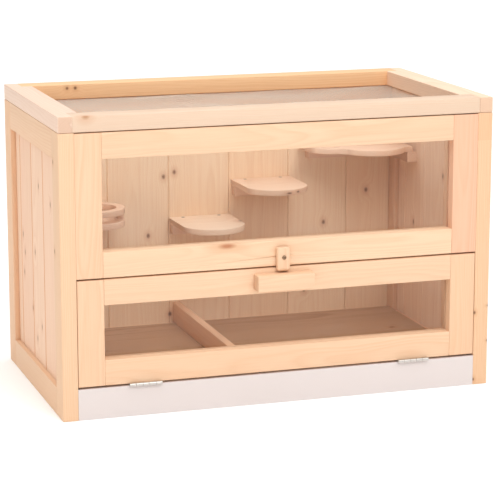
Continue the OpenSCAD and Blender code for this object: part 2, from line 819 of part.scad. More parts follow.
post_front_left();
post_front_right();
post_back_left();
post_back_right();
side_top_rail_left();
side_top_rail_right();
side_bottom_rail_left();
side_bottom_rail_right();
side_boards_left();
side_boards_right();
back_top_rail();
back_bottom_rail();
back_boards();
floor_boards();
floor_battens();
plinth();
divider();
window_top_rail();
window_bottom_rail();
window_stile_left();
window_stile_right();
window_pane();
shelf_low();
shelf_low_cleat();
shelf_middle();
shelf_middle_cleat();
shelf_high();
shelf_high_cleats();
shelf_screws();
bowl_ring();
bowl_base();
bowl_spacers();
door_hinge_fixed_leaf(-1);  // door_hinge_fixed_leaf_left
door_hinge_fixed_leaf(1);  // door_hinge_fixed_leaf_right
door_hinge_pins();
door_hinge_fixed_screws();
lid_hinge_fixed_leaf(-1);  // lid_hinge_fixed_leaf_left
lid_hinge_fixed_leaf(1);  // lid_hinge_fixed_leaf_right
lid_hinge_pins();
lid_hinge_fixed_screws();
turn_button_screw();
door_top_rail();
door_bottom_rail();
door_stile_left();
door_stile_right();
door_pane();
door_handle();
door_hinge_moving_leaf(-1);  // door_hinge_moving_leaf_left
door_hinge_moving_leaf(1);  // door_hinge_moving_leaf_right
door_hinge_moving_screws();
lid_front_rail();
lid_back_rail();
lid_side_rail_left();
lid_side_rail_right();
lid_mesh();
lid_staples();
lid_hinge_moving_leaf(-1);  // lid_hinge_moving_leaf_left
lid_hinge_moving_leaf(1);  // lid_hinge_moving_leaf_right
lid_hinge_moving_screws();
turn_button();
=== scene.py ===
import math
import random

import bpy
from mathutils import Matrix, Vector


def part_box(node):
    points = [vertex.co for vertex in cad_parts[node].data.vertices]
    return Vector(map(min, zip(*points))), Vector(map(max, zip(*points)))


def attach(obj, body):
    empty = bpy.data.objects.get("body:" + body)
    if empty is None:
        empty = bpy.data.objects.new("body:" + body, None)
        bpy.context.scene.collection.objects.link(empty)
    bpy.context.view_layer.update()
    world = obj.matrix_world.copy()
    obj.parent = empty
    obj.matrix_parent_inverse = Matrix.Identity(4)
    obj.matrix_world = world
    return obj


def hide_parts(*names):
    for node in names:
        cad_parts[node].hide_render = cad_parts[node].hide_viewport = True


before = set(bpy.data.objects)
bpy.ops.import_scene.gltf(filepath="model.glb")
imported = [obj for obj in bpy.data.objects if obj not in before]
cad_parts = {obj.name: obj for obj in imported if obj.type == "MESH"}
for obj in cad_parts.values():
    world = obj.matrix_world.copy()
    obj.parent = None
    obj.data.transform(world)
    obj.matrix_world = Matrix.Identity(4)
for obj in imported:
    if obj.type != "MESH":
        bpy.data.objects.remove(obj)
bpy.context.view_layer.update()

# ---- Studio -------------------------------------------------------------------------------------
# A white studio table in a white tent: a big soft key light stands in front of the cage and above it,
# and a weak one fills its left side. The camera is far off, with a long lens, and looks a little down.
CAMERA_TARGET = Vector((0.0134, 0.0102, 0.2402))
CAMERA_AZIMUTH = math.radians(-18.16)
CAMERA_ELEVATION = math.radians(12.07)
CAMERA_DISTANCE = 3.954
CAMERA_LENS_MM = 150.5
LIGHTS_AIM = (0, 0, 0.25)


def srgb(hex_colour, alpha=1.0):
    """Linear colour of an sRGB hex value such as "F4E2C8"."""
    parts = [int(hex_colour[i:i + 2], 16) / 255 for i in (0, 2, 4)]
    return (*[p / 12.92 if p <= 0.04045 else ((p + 0.055) / 1.055) ** 2.4 for p in parts], alpha)


def add(tree, kind, inputs=None, **settings):
    """Adds a shader node; inputs maps a socket's name or number to a value or to a socket to link."""
    made = tree.nodes.new("ShaderNode" + kind)
    for key, value in settings.items():
        setattr(made, key, value)
    for key, value in (inputs or {}).items():
        if isinstance(value, bpy.types.NodeSocket):
            tree.links.new(value, made.inputs[key])
        else:
            made.inputs[key].default_value = value
    return made


def new_material(name):
    """An empty node material with its output node."""
    material = bpy.data.materials.new(name)
    material.use_nodes = True
    material.node_tree.nodes.clear()
    return material, material.node_tree, add(material.node_tree, "OutputMaterial")


def area_light(name, place, target, size, watts, colour):
    """A square soft box that faces its target."""
    lamp = bpy.data.lights.new(name, "AREA")
    lamp.shape = "SQUARE"
    lamp.size = size
    lamp.energy = watts
    lamp.color = srgb(colour)[:3]
    holder = bpy.data.objects.new(name, lamp)
    holder.location = place
    holder.rotation_euler = (Vector(target) - Vector(place)).to_track_quat("-Z", "Y").to_euler()
    bpy.context.scene.collection.objects.link(holder)


look = Vector((
    math.sin(-CAMERA_AZIMUTH) * math.cos(CAMERA_ELEVATION),
    math.cos(CAMERA_AZIMUTH) * math.cos(CAMERA_ELEVATION),
    -math.sin(CAMERA_ELEVATION),
))
camera = bpy.data.objects.new("camera", bpy.data.cameras.new("camera"))
camera.data.lens = CAMERA_LENS_MM
camera.location = CAMERA_TARGET - look * CAMERA_DISTANCE
camera.rotation_euler = look.to_track_quat("-Z", "Y").to_euler()
bpy.context.scene.collection.objects.link(camera)
bpy.context.scene.camera = camera
bpy.context.scene.view_settings.view_transform = "Standard"

area_light("key", (0.3, -3.0, 3.1), LIGHTS_AIM, size=1.6, watts=53, colour="FFFDFA")
area_light("left_fill", (-3.2, -1.2, 2.2), LIGHTS_AIM, size=2.0, watts=9, colour="FFFDFA")

# The tent is bright overhead and dims towards the horizon
OVERHEAD = 1.66
HORIZON = 0.02

tent = bpy.data.worlds.new("white_tent")
tent.use_nodes = True
tree = tent.node_tree
height = add(tree, "SeparateXYZ", {0: add(tree, "TexCoord").outputs["Generated"]}).outputs["Z"]
level = add(tree, "MapRange", {"Value": height, "To Min": HORIZON, "To Max": OVERHEAD}).outputs[0]
tree.nodes["Background"].inputs["Color"].default_value = srgb("FFFFFF")
tree.links.new(level, tree.nodes["Background"].inputs["Strength"])
bpy.context.scene.world = tent

# Table top of opal white acrylic, sanded matt and lit from below, so that shadows on it stay pale. It
# is wide enough to fill every view.
TABLE_SIZE = 60
TABLE_GLOW = 0.07

bpy.ops.mesh.primitive_plane_add(size=TABLE_SIZE, location=(0, 0, 0))
table_top = bpy.context.object
table_top.name = "table_top"
table_white, tree, out = new_material("sanded_opal_acrylic_table")
speckle = add(tree, "TexNoise", {"Scale": 400.0})
shade = add(tree, "ValToRGB", {0: speckle.outputs["Fac"]})
shade.color_ramp.elements[0].color = srgb("FAFAFA")
shade.color_ramp.elements[1].color = srgb("FDFDFD")
opal = add(tree, "BsdfPrincipled", {
    "Base Color": shade.outputs["Color"], "Roughness": 0.9,
    "Emission Color": shade.outputs["Color"], "Emission Strength": TABLE_GLOW,
})
tree.links.new(opal.outputs[0], out.inputs[0])
table_top.data.materials.append(table_white)

# ---- Corner posts and frame rails ---------------------------------------------------------------
# Planed fir battens with lightly eased edges, grooved on a spindle moulder for the boards. They are
# glued into two side frames and a back, so each joint shows as a fine line. The right front post is
# finger-jointed from two lengths of timber.
EASE = 0.0010
WELD = 1e-5
FLAT_ANGLE = math.radians(0.5)
SMOOTH_ANGLE = math.radians(30)
JOINT_HEIGHT = 0.461
JOINT_TONE = 0.70


def fir(name, grain, pale, rose, late, ring_mm=3.4, ring_depth=0.24, knots=(), knot_colour="6E4630",
        knot_depth=0.85, outward=None):
    """Planed, unfinished fir. grain is the axis that the fibres follow. knots are (place, radius,
    squeeze): squeeze is 0 on the axis along which the knot runs through the timber, and under 1 where
    it is long. outward is the side on which the V along a board's seams is painted darker, partly for
    its milled fibre and partly as painted shade in the groove.
    """
    material, tree, out = new_material(name)
    material["grain"] = "XYZ".index(grain)
    place = add(tree, "TexCoord").outputs["Object"]
    normal = add(tree, "TexCoord").outputs["Normal"]
    turn = {"X": (0, 0, 0), "Y": (0, 0, -math.pi / 2), "Z": (0, math.pi / 2, 0)}[grain]
    cut = add(tree, "Attribute", attribute_name="cut").outputs["Vector"]
    tone = add(tree, "Attribute", attribute_name="tone").outputs["Fac"]
    log = add(tree, "VectorMath", {0: place, 1: cut}, operation="ADD").outputs[0]
    log = add(tree, "Mapping", {"Vector": log, "Rotation": turn}).outputs[0]

    # the trunk's slow bends carry the rings sideways along its length, by up to 15 mm
    slow = add(tree, "VectorMath", {0: log, 1: (2.2, 9.0, 9.0)}, operation="MULTIPLY").outputs[0]
    bend = add(tree, "TexNoise", {"Vector": slow, "Scale": 1.0, "Detail": 2.0, "Roughness": 0.45})
    bend = add(tree, "VectorMath", {0: bend.outputs["Color"], 1: (0.5, 0.5, 0.5)}, operation="SUBTRACT")
    bend = add(tree, "VectorMath", {0: bend.outputs[0], "Scale": 0.030}, operation="SCALE")
    bent = add(tree, "VectorMath", {0: log, 1: bend.outputs[0]}, operation="ADD").outputs[0]
    across = add(tree, "VectorMath", {0: bent, 1: (0.0, 1.0, 1.0)}, operation="MULTIPLY").outputs[0]
    radius = add(tree, "VectorMath", {0: across}, operation="LENGTH").outputs["Value"]

    # how near the closest knot is, in knot radii; the rings swell round it
    near = None
    for centre, knot_r, squeeze in knots:
        off = add(tree, "VectorMath", {0: place, 1: centre}, operation="SUBTRACT").outputs[0]
        scale = [share / knot_r for share in squeeze]
        off = add(tree, "VectorMath", {0: off, 1: scale}, operation="MULTIPLY").outputs[0]
        gap = add(tree, "VectorMath", {0: off}, operation="LENGTH").outputs["Value"]
        near = gap if near is None else add(tree, "Math", {0: near, 1: gap}, operation="MINIMUM").outputs[0]
    if near is not None:
        swell = add(
            tree, "MapRange",
            {"Value": near, "From Min": 0.6, "From Max": 7.0, "To Min": 0.0045, "To Max": 0.0},
            interpolation_type="SMOOTHERSTEP",
        ).outputs[0]
        radius = add(tree, "Math", {0: radius, 1: swell}, operation="ADD").outputs[0]

    # each ring is pale early wood that darkens slowly to late wood and ends sharply
    uneven = add(tree, "TexNoise", {"W": radius, "Scale": 90.0, "Detail": 1.0}, noise_dimensions="1D")
    rings = add(tree, "Math", {0: radius, 1: 1000.0 / ring_mm}, operation="MULTIPLY").outputs[0]
    rings = add(tree, "Math", {0: uneven.outputs["Fac"], 1: 2.2, 2: rings}, operation="MULTIPLY_ADD")
    phase = add(tree, "Math", {0: rings.outputs[0]}, operation="FRACT").outputs[0]
    ring = add(tree, "ValToRGB", {0: phase})
    ring.color_ramp.elements[0].position = 0.25
    ring.color_ramp.elements[0].color = (0, 0, 0, 1)
    ring.color_ramp.elements[1].position = 0.82
    ring.color_ramp.elements[1].color = (1, 1, 1, 1)
    ring.color_ramp.elements.new(0.98).color = (0.1, 0.1, 0.1, 1)
    ring = ring.outputs["Color"]

    # fibres a few centimetres long, drawn a millimetre wide because real ones are too fine to show
    hair = add(tree, "VectorMath", {0: log, 1: (16.0, 900.0, 900.0)}, operation="MULTIPLY").outputs[0]
    fibre = add(tree, "TexNoise", {"Vector": hair, "Scale": 1.0, "Detail": 3.0}).outputs["Fac"]
    patch = add(tree, "VectorMath", {0: log, 1: (3.0, 22.0, 22.0)}, operation="MULTIPLY").outputs[0]
    patch = add(tree, "TexNoise", {"Vector": patch, "Scale": 1.0, "Detail": 2.0}).outputs["Fac"]

    # pale to rosy in slow patches, with the rings faint in some of them
    warm = add(tree, "Math", {0: patch, 1: 0.7, 2: -0.35}, operation="MULTIPLY_ADD").outputs[0]
    warm = add(tree, "Math", {0: warm, 1: tone}, operation="ADD", use_clamp=True).outputs[0]
    colour = add(tree, "Mix", {0: warm, 6: srgb(pale), 7: srgb(rose)}, data_type="RGBA").outputs[2]
    faint = add(tree, "MapRange", {
        "Value": patch, "From Min": 0.35, "From Max": 0.7,
        "To Min": ring_depth, "To Max": ring_depth * 0.35,
    }).outputs[0]
    ring_share = add(tree, "Math", {0: ring, 1: faint}, operation="MULTIPLY").outputs[0]
    colour = add(tree, "Mix", {0: ring_share, 6: colour, 7: srgb(late)}, data_type="RGBA").outputs[2]
    streak = add(tree, "MapRange", {"Value": fibre, "From Min": 0.45, "From Max": 0.72, "To Max": 0.16})
    streak = streak.outputs[0]
    colour = add(tree, "Mix", {0: streak, 6: colour, 7: srgb(late)}, data_type="RGBA").outputs[2]

    # end grain is darker and shows the rings as arcs
    end = {"X": (1, 0, 0), "Y": (0, 1, 0), "Z": (0, 0, 1)}[grain]
    facing = add(tree, "VectorMath", {0: normal, 1: end}, operation="DOT_PRODUCT").outputs["Value"]
    facing = add(tree, "Math", {0: facing}, operation="ABSOLUTE").outputs[0]
    sawn = add(tree, "MapRange", {"Value": facing, "From Min": 0.8, "From Max": 0.95, "To Max": 0.50})
    sawn = sawn.outputs[0]
    colour = add(tree, "Mix", {0: sawn, 6: colour, 7: srgb("C79E80")}, data_type="RGBA").outputs[2]

    # the V along a board's seams on its outward side is darker than its face, partly for its milled fibre
    # and partly as painted shade in the groove
    if outward is not None:
        level = add(tree, "VectorMath", {0: normal, 1: outward}, operation="DOT_PRODUCT").outputs["Value"]
        milled_and_painted_shade = add(tree, "Math", {0: level, 1: math.sqrt(0.5), 2: 0.15}, operation="COMPARE").outputs[0]
        milled_and_painted_shade = add(tree, "Math", {0: milled_and_painted_shade, 1: 0.75}, operation="MULTIPLY").outputs[0]
        colour = add(tree, "Mix", {0: milled_and_painted_shade, 6: colour, 7: srgb("DE9C68")}, data_type="RGBA").outputs[2]

    # a knot is a dark core in a halo stained by its resin
    if near is not None:
        halo = add(tree, "MapRange", {
            "Value": near, "From Min": 1.0, "From Max": 3.2, "To Min": 0.30, "To Max": 0.0,
        }).outputs[0]
        colour = add(tree, "Mix", {0: halo, 6: colour, 7: srgb("C98A5B")}, data_type="RGBA").outputs[2]
        ragged = add(tree, "Math", {0: fibre, 1: 0.5, 2: near}, operation="MULTIPLY_ADD").outputs[0]
        ragged = add(tree, "Math", {0: ragged, 1: 0.5}, operation="MULTIPLY").outputs[0]
        core = add(tree, "ValToRGB", {0: ragged})
        core.color_ramp.elements[0].position = 0.30
        core.color_ramp.elements[0].color = (knot_depth, knot_depth, knot_depth, 1)
        core.color_ramp.elements[1].position = 0.72
        core.color_ramp.elements[1].color = (0, 0, 0, 1)
        core = core.outputs["Color"]
        colour = add(tree, "Mix", {0: core, 6: colour, 7: srgb(knot_colour)}, data_type="RGBA").outputs[2]

    relief = add(tree, "Math", {0: ring, 1: 0.5, 2: fibre}, operation="MULTIPLY_ADD").outputs[0]
    bump = add(tree, "Bump", {"Height": relief, "Strength": 0.35, "Distance": 0.00025}).outputs[0]
    rough = add(tree, "MapRange", {"Value": fibre, "To Min": 0.52, "To Max": 0.70}).outputs[0]
    wood = add(tree, "BsdfPrincipled", {
        "Base Color": colour, "Roughness": rough, "Normal": bump, "IOR": 1.45, "Specular IOR Level": 0.35,
    })
    tree.links.new(wood.outputs[0], out.inputs[0])
    return material


def select_only(piece):
    """Selects the piece alone and makes it the active one."""
    bpy.ops.object.select_all(action="DESELECT")
    piece.select_set(True)
    bpy.context.view_layer.objects.active = piece


def planed_block(name, low, high, ease=EASE):
    """A batten from one corner to the opposite one, with its edges eased by a sanding block."""
    bpy.ops.object.select_all(action="DESELECT")
    bpy.ops.mesh.primitive_cube_add(size=1, location=(low + high) / 2, scale=high - low)
    piece = bpy.context.object
    piece.name = piece.data.name = name
    bpy.ops.object.transform_apply(location=True, rotation=True, scale=True)
    bpy.ops.object.mode_set(mode="EDIT")
    bpy.ops.mesh.select_all(action="SELECT")
    bpy.ops.mesh.bevel(offset=ease, segments=2, affect="EDGES")
    bpy.ops.object.mode_set(mode="OBJECT")
    return piece


def merged_copy(node, name):
    """A copy of a CAD node's mesh with its loose triangles merged into whole faces."""
    piece = bpy.data.objects.new(name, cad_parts[node].data.copy())
    piece.data.name = name
    piece.data.materials.clear()
    bpy.context.scene.collection.objects.link(piece)
    select_only(piece)
    bpy.ops.object.mode_set(mode="EDIT")
    bpy.ops.mesh.select_all(action="SELECT")
    bpy.ops.mesh.remove_doubles(threshold=WELD)
    bpy.ops.mesh.dissolve_limited(angle_limit=FLAT_ANGLE)
    bpy.ops.object.mode_set(mode="OBJECT")
    return piece


def carve(piece, cutter, operation):
    """Cuts the piece with the cutter, which is used up. DIFFERENCE takes the cutter's shape out of the
    piece, and INTERSECT leaves only what both share.
    """
    cut = piece.modifiers.new("cut", "BOOLEAN")
    cut.operation = operation
    cut.object = cutter
    cut.solver = "EXACT"
    select_only(piece)
    bpy.ops.object.modifier_apply(modifier=cut.name)
    bpy.data.objects.remove(cutter)


def mark_wood(piece, seed, tone=None):
    """Where in the trunk this piece was sawn, and how rosy it is, as attributes for its material. The
    pith lies a few centimetres from the piece's wide face, so that the rings run out in flames on it.
    """
    draw = random.Random(seed)
    low = Vector([min(v.co[i] for v in piece.data.vertices) for i in range(3)])
    high = Vector([max(v.co[i] for v in piece.data.vertices) for i in range(3)])
    grain = piece.data.materials[0]["grain"]
    thin, wide = sorted((i for i in range(3) if i != grain), key=lambda i: (high - low)[i])
    cut = -(low + high) / 2
    cut[grain] += draw.uniform(-2, 2)
    cut[thin] += draw.choice((-1, 1)) * draw.uniform(0.030, 0.075)
    cut[wide] += draw.uniform(-0.035, 0.035)
    drawn_tone = draw.uniform(0.1, 0.8)
    faces = len(piece.data.polygons)
    piece.data.attributes.new("cut", "FLOAT_VECTOR", "FACE").data.foreach_set("vector", list(cut) * faces)
    level = drawn_tone if tone is None else tone
    piece.data.attributes.new("tone", "FLOAT", "FACE").data.foreach_set("value", [level] * faces)


def finish_wood(piece, body, node, material, seed, tone=None, smooth=SMOOTH_ANGLE):
    """Gives a finished piece its material, its place in the trunk and its CAD body, and hides the CAD
    node that it stands for.
    """
    piece.data.materials.clear()
    piece.data.materials.append(material)
    mark_wood(piece, seed, tone)
    select_only(piece)
    bpy.ops.object.shade_smooth_by_angle(angle=smooth)
    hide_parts(node)
    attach(piece, body)


def batten(node, body, material, seed, tone=None, ease=EASE):
    """A planed batten that stands for a CAD node, with the node's own grooves and holes."""
    piece = planed_block(node + "_fir", *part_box(node), ease)
    carve(piece, merged_copy(node, node + "_cutter"), "INTERSECT")
    finish_wood(piece, body, node, material, seed, tone)
    return piece


# Planed fir, unfinished: pale, faintly rosy, with a dull sheen along the grain, which runs upright,
# from side to side or from front to back
upright_fir = fir("planed_fir_upright", "Z", "EDC9A8", "EBC09C", "D99E72")
level_fir = fir("planed_fir_level", "X", "EDCAA9", "EABF9C", "DAA175")
deep_fir = fir("planed_fir_deep", "Y", "EDCAA9", "EAC09D", "D8A074")


def finger_joint(piece, height, seed):
    """Glues the piece up from two lengths of timber, the upper one from another place in the trunk."""
    select_only(piece)
    bpy.ops.object.mode_set(mode="EDIT")
    bpy.ops.mesh.select_all(action="SELECT")
    bpy.ops.mesh.bisect(plane_co=(0, 0, height), plane_no=(0, 0, 1))
    bpy.ops.object.mode_set(mode="OBJECT")
    other = random.Random(seed)
    shift = Vector((other.uniform(0.3, 0.9), other.uniform(-0.03, 0.03), other.uniform(0.02, 0.05)))
    for face in piece.data.polygons:
        if face.center.z > height:
            piece.data.attributes["cut"].data[face.index].vector += shift
            piece.data.attributes["tone"].data[face.index].value += JOINT_TONE


# The same fir, with four pin knots near the front edges of the right post and two on the outer side of
# the left one
low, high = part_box("post_front_right")
right_post_fir = fir(
    "planed_fir_right_post", "Z", "EBC49F", "E7BC96", "D99E72",
    knots=[
        ((low.x + 0.001, low.y, 0.138), 0.0028, (1, 1, 0.8)),
        ((high.x - 0.001, low.y, 0.150), 0.0020, (1, 1, 1)),
        ((high.x - 0.001, low.y, 0.083), 0.0020, (1, 1, 1)),
        ((low.x + 0.001, low.y, 0.010), 0.0026, (1, 1, 0.8)),
    ],
)
low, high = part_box("post_front_left")
left_post_fir = fir(
    "planed_fir_left_post", "Z", "ECC8A5", "EAC09C", "DBA277",
    knots=[
        ((low.x, high.y - 0.008, 0.298), 0.0030, (1, 1, 0.6)),
        ((low.x, high.y - 0.007, 0.456), 0.0028, (1, 1, 0.6)),
    ],
    knot_colour="8A6248",
)
batten("post_front_left", "cage", left_post_fir, 0, 0.2)
finger_joint(batten("post_front_right", "cage", right_post_fir, 1, 0.2), JOINT_HEIGHT, 5)
batten("post_back_left", "cage", upright_fir, 2, 0.5)
batten("post_back_right", "cage", upright_fir, 3, 0.3)
for seed, node in enumerate((
    "side_top_rail_left", "side_top_rail_right", "side_bottom_rail_left", "side_bottom_rail_right",
)):
    batten(node, "cage", deep_fir, 10 + seed)
for seed, node in enumerate(("back_top_rail", "back_bottom_rail")):
    batten(node, "cage", level_fir, 20 + seed)

# ---- Side and back boards -----------------------------------------------------------------------
# Thin fir boards with tongue, groove and a small V along each seam. They slide into the grooves of
# their frames without glue. Pin knots sit here and there in them, at these places along and up a wall.
BACK_KNOTS = (
    (-0.097, 0.347), (-0.075, 0.355), (-0.129, 0.231), (0.237, 0.236),
    (0.328, 0.297), (-0.310, 0.420), (-0.086, 0.070), (0.196, 0.099),
)
SIDE_KNOTS = (
    (-0.005, 0.384), (-0.100, 0.367), (0.137, 0.268), (0.122, 0.236), (0.034, 0.254),
    (0.131, 0.196), (0.062, 0.142), (-0.013, 0.123), (0.027, 0.092),
)
BACK_KNOT_R = 0.0038
SIDE_KNOT_R = 0.0031

back_low, back_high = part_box("back_boards")
back_y = (back_low.y + back_high.y) / 2
# The back boards are paler than the frame timber, partly their own tone and partly painted light that lifts
# the inside of the cage, which lies in shade.
back_board_fir = fir(
    "planed_fir_back_boards", "Z", "FFE8CA", "FDDDBA", "E2AD80", ring_mm=4.2, ring_depth=0.20,
    knot_colour="80533A", knot_depth=0.8, outward=(0, 1, 0),
    knots=[((x, back_y, z), BACK_KNOT_R, (1, 0, 0.75)) for x, z in BACK_KNOTS],
)
side_board_fir = {}
# The right wall's boards are painted much paler than the left's: painted light on the right wall's inner
# face, which lies in shade, and painted shade on the left wall's outer face, which the fill lamp lights.
for side, pale, rose in (("left", "F4D1B4", "EFC6A9"), ("right", "FFE6CC", "FBDCC0")):
    low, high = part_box("side_boards_" + side)
    spots = SIDE_KNOTS if side == "left" else [(y - 0.03, z - 0.02) for y, z in SIDE_KNOTS[:-3]]
    side_board_fir[side] = fir(
        "planed_fir_boards_" + side, "Z", pale, rose, "DBA57F", ring_mm=4.2, ring_depth=0.24,
        knot_colour="7A543C", knot_depth=0.7, outward=(-1 if side == "left" else 1, 0, 0),
        knots=[(((low.x + high.x) / 2, y, z), SIDE_KNOT_R, (0, 1, 0.5)) for y, z in spots],
    )


def separate_solids(node, name):
    """The solids of a CAD node as pieces of their own, numbered from the left and the front."""
    merged_copy(node, name)
    bpy.ops.object.mode_set(mode="EDIT")
    bpy.ops.mesh.select_all(action="SELECT")
    bpy.ops.mesh.separate(type="LOOSE")
    bpy.ops.object.mode_set(mode="OBJECT")

    def along_wall(solid):
        points = solid.data.vertices
        return sum(v.co.x + v.co.y for v in points) / len(points)

    solids = sorted(bpy.context.selected_objects, key=along_wall)
    for number, solid in enumerate(solids, 1):
        solid.name = solid.data.name = f"{name}_{number}"
    return solids


for number, board in enumerate(separate_solids("back_boards", "back_board")):
    finish_wood(board, "cage", "back_boards", back_board_fir, 30 + number)
for side, first in (("left", 40), ("right", 50)):
    for number, board in enumerate(separate_solids("side_boards_" + side, "side_board_" + side)):
        finish_wood(board, "cage", "side_boards_" + side, side_board_fir[side], first + number)

# ---- Floor --------------------------------------------------------------------------------------
# Square-edged fir boards laid from side to side on three battens, and a low divider that stands on
# them from front to back and keeps the bedding on one side.
FLOOR_KNOT = (0.317, 0.040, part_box("floor_boards")[1].z)

# Planed fir, browner and duller than the walls, with strong rings and one knot on the right
floor_fir = fir(
    "planed_fir_floor", "X", "CAA789", "BF9979", "94684A", ring_depth=0.50,
    knots=[(FLOOR_KNOT, 0.0045, (0.7, 1, 0))],
)
for number, board in enumerate(separate_solids("floor_boards", "floor_board")):
    finish_wood(board, "cage", "floor_boards", floor_fir, 60 + number)
for number, piece in enumerate(separate_solids("floor_battens", "floor_batten")):
    finish_wood(piece, "cage", "floor_battens", deep_fir, 70 + number)
batten("divider", "cage", deep_fir, 75, 0.6)

# ---- Plinth -------------------------------------------------------------------------------------
# A strip of chipboard faced all round with white melamine foil. The foil has a faint orange peel and
# a soft satin gloss, and its edges are crisp.
PLINTH_EASE = 0.0006

# Melamine foil: a plain white, cooler than the timber, with a satin gloss that the peel breaks up
foil, tree, out = new_material("white_melamine_foil")
place = add(tree, "TexCoord").outputs["Object"]
peel = add(tree, "TexNoise", {"Vector": place, "Scale": 700.0, "Detail": 2.0}).outputs["Fac"]
drift = add(tree, "TexNoise", {"Vector": place, "Scale": 6.0, "Detail": 2.0}).outputs["Fac"]
shade = add(tree, "Mix", {0: drift, 6: srgb("DACFCB"), 7: srgb("DFD5D2")}, data_type="RGBA").outputs[2]
bump = add(tree, "Bump", {"Height": peel, "Strength": 0.15, "Distance": 0.0001}).outputs[0]
rough = add(tree, "MapRange", {"Value": peel, "To Min": 0.26, "To Max": 0.38}).outputs[0]
satin = add(tree, "BsdfPrincipled", {"Base Color": shade, "Roughness": rough, "Normal": bump, "IOR": 1.5})
tree.links.new(satin.outputs[0], out.inputs[0])

plinth = planed_block("plinth_board", *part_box("plinth"), PLINTH_EASE)
carve(plinth, merged_copy("plinth", "plinth_cutter"), "INTERSECT")
plinth.data.materials.clear()
plinth.data.materials.append(foil)
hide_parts("plinth")
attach(plinth, "cage")

# ---- Window and door ----------------------------------------------------------------------------
# Two frames of planed fir, the rails set between the stiles, each holding a clear acrylic sheet in a
# groove near its inner face. The upper one is fixed; the lower one is the door.
FLAT_KNOT_X = -0.103
FLAT_KNOT_Z = 0.296

# The window's bottom rail has one long pale knot in its front face
low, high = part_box("window_bottom_rail")
knotty_level_fir = fir(
    "planed_fir_window_rail", "X", "F0CFAE", "ECC29F", "DBA276",
    knots=[((FLAT_KNOT_X, low.y, FLAT_KNOT_Z), 0.0052, (0.32, 1, 1))], knot_colour="B87450",
)
# The right window stile is redder heartwood
rosy_fir = fir("planed_fir_rosy_upright", "Z", "EFC3A5", "ECB999", "D99C76")
for seed, (node, body, material, tone) in enumerate((
    ("window_stile_left", "cage", upright_fir, 0.35), ("window_stile_right", "cage", rosy_fir, 0.6),
    ("window_top_rail", "cage", level_fir, 0.15), ("window_bottom_rail", "cage", knotty_level_fir, 0.2),
    ("door_stile_left", "door", upright_fir, 0.25), ("door_stile_right", "door", upright_fir, 0.5),
    ("door_top_rail", "door", level_fir, 0.1), ("door_bottom_rail", "door", level_fir, 0.35),
)):
    batten(node, body, material, 80 + seed, tone)

# Extruded acrylic sheet: clear and polished. It mirrors little straight on and more at a slant, and
# has a trace of haze from handling.
PANE_EASE = 0.0002

acrylic, tree, out = new_material("clear_extruded_acrylic")
place = add(tree, "TexCoord").outputs["Object"]
smear = add(tree, "VectorMath", {0: place, 1: (5.0, 5.0, 11.0)}, operation="MULTIPLY").outputs[0]
smear = add(tree, "TexNoise", {"Vector": smear, "Scale": 1.0, "Detail": 3.0}).outputs["Fac"]
haze = add(tree, "MapRange", {"Value": smear, "From Min": 0.35, "From Max": 0.75, "To Max": 0.012})
slant = add(tree, "LayerWeight", {"Blend": 0.5}).outputs["Facing"]
gloss = add(tree, "Math", {0: slant, 1: 4.0}, operation="POWER").outputs[0]
gloss = add(tree, "MapRange", {"Value": gloss, "To Min": 0.010, "To Max": 0.85}).outputs[0]
seen = add(tree, "Math", {0: gloss, 1: haze.outputs[0]}, operation="ADD", use_clamp=True).outputs[0]
clear = add(tree, "BsdfTransparent").outputs[0]
mirror = add(tree, "BsdfGlossy", {"Color": srgb("F4F6F6"), "Roughness": 0.03}).outputs[0]
sheet = add(tree, "MixShader", {0: seen, 1: clear, 2: mirror})
tree.links.new(sheet.outputs[0], out.inputs[0])
for node, body in (("window_pane", "cage"), ("door_pane", "door")):
    pane = planed_block(node + "_acrylic", *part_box(node), PANE_EASE)
    pane.data.materials.append(acrylic)
    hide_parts(node)
    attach(pane, body)

# ---- Door handle and turn button ----------------------------------------------------------------
# The handle is a plain block of fir glued to the door. The turn button is a small plate of fir with
# rounded corners, which swings on one pan-head screw and holds the door shut with its lower end.
HANDLE_EASE = 0.0016
BUTTON_CORNER = 0.004
BUTTON_EASE = 0.0012
PAN_HEAD_H = 0.0026
PAN_SHANK_R = 0.0022
SHANK_EASE = 0.0002
HEAD_SMOOTH_ANGLE = math.radians(35)

batten("door_handle", "door", level_fir, 95, 0.15, HANDLE_EASE)

low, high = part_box("turn_button")
bpy.ops.object.select_all(action="DESELECT")
bpy.ops.mesh.primitive_cube_add(size=1, location=(low + high) / 2, scale=high - low)
button = bpy.context.object
button.name = button.data.name = "turn_button_fir"
bpy.ops.object.transform_apply(location=True, rotation=True, scale=True)
bpy.ops.object.mode_set(mode="EDIT")
bpy.ops.mesh.select_all(action="DESELECT")
bpy.ops.object.mode_set(mode="OBJECT")
for edge in button.data.edges:
    a, b = (button.data.vertices[i].co for i in edge.vertices)
    edge.select = abs(a.y - b.y) > 0.001
bpy.ops.object.mode_set(mode="EDIT")
bpy.ops.mesh.select_mode(type="EDGE")
bpy.ops.mesh.bevel(offset=BUTTON_CORNER, segments=6, affect="EDGES")
bpy.ops.mesh.select_all(action="DESELECT")
bpy.ops.object.mode_set(mode="OBJECT")
for edge in button.data.edges:
    a, b = (button.data.vertices[i].co for i in edge.vertices)
    edge.select = abs(a.y - b.y) < 1e-6
bpy.ops.object.mode_set(mode="EDIT")
bpy.ops.mesh.bevel(offset=BUTTON_EASE, segments=3, affect="EDGES")
bpy.ops.object.mode_set(mode="OBJECT")
carve(button, merged_copy("turn_button", "button_cutter"), "INTERSECT")
finish_wood(button, "latch", "turn_button", upright_fir, 97, 0.05)


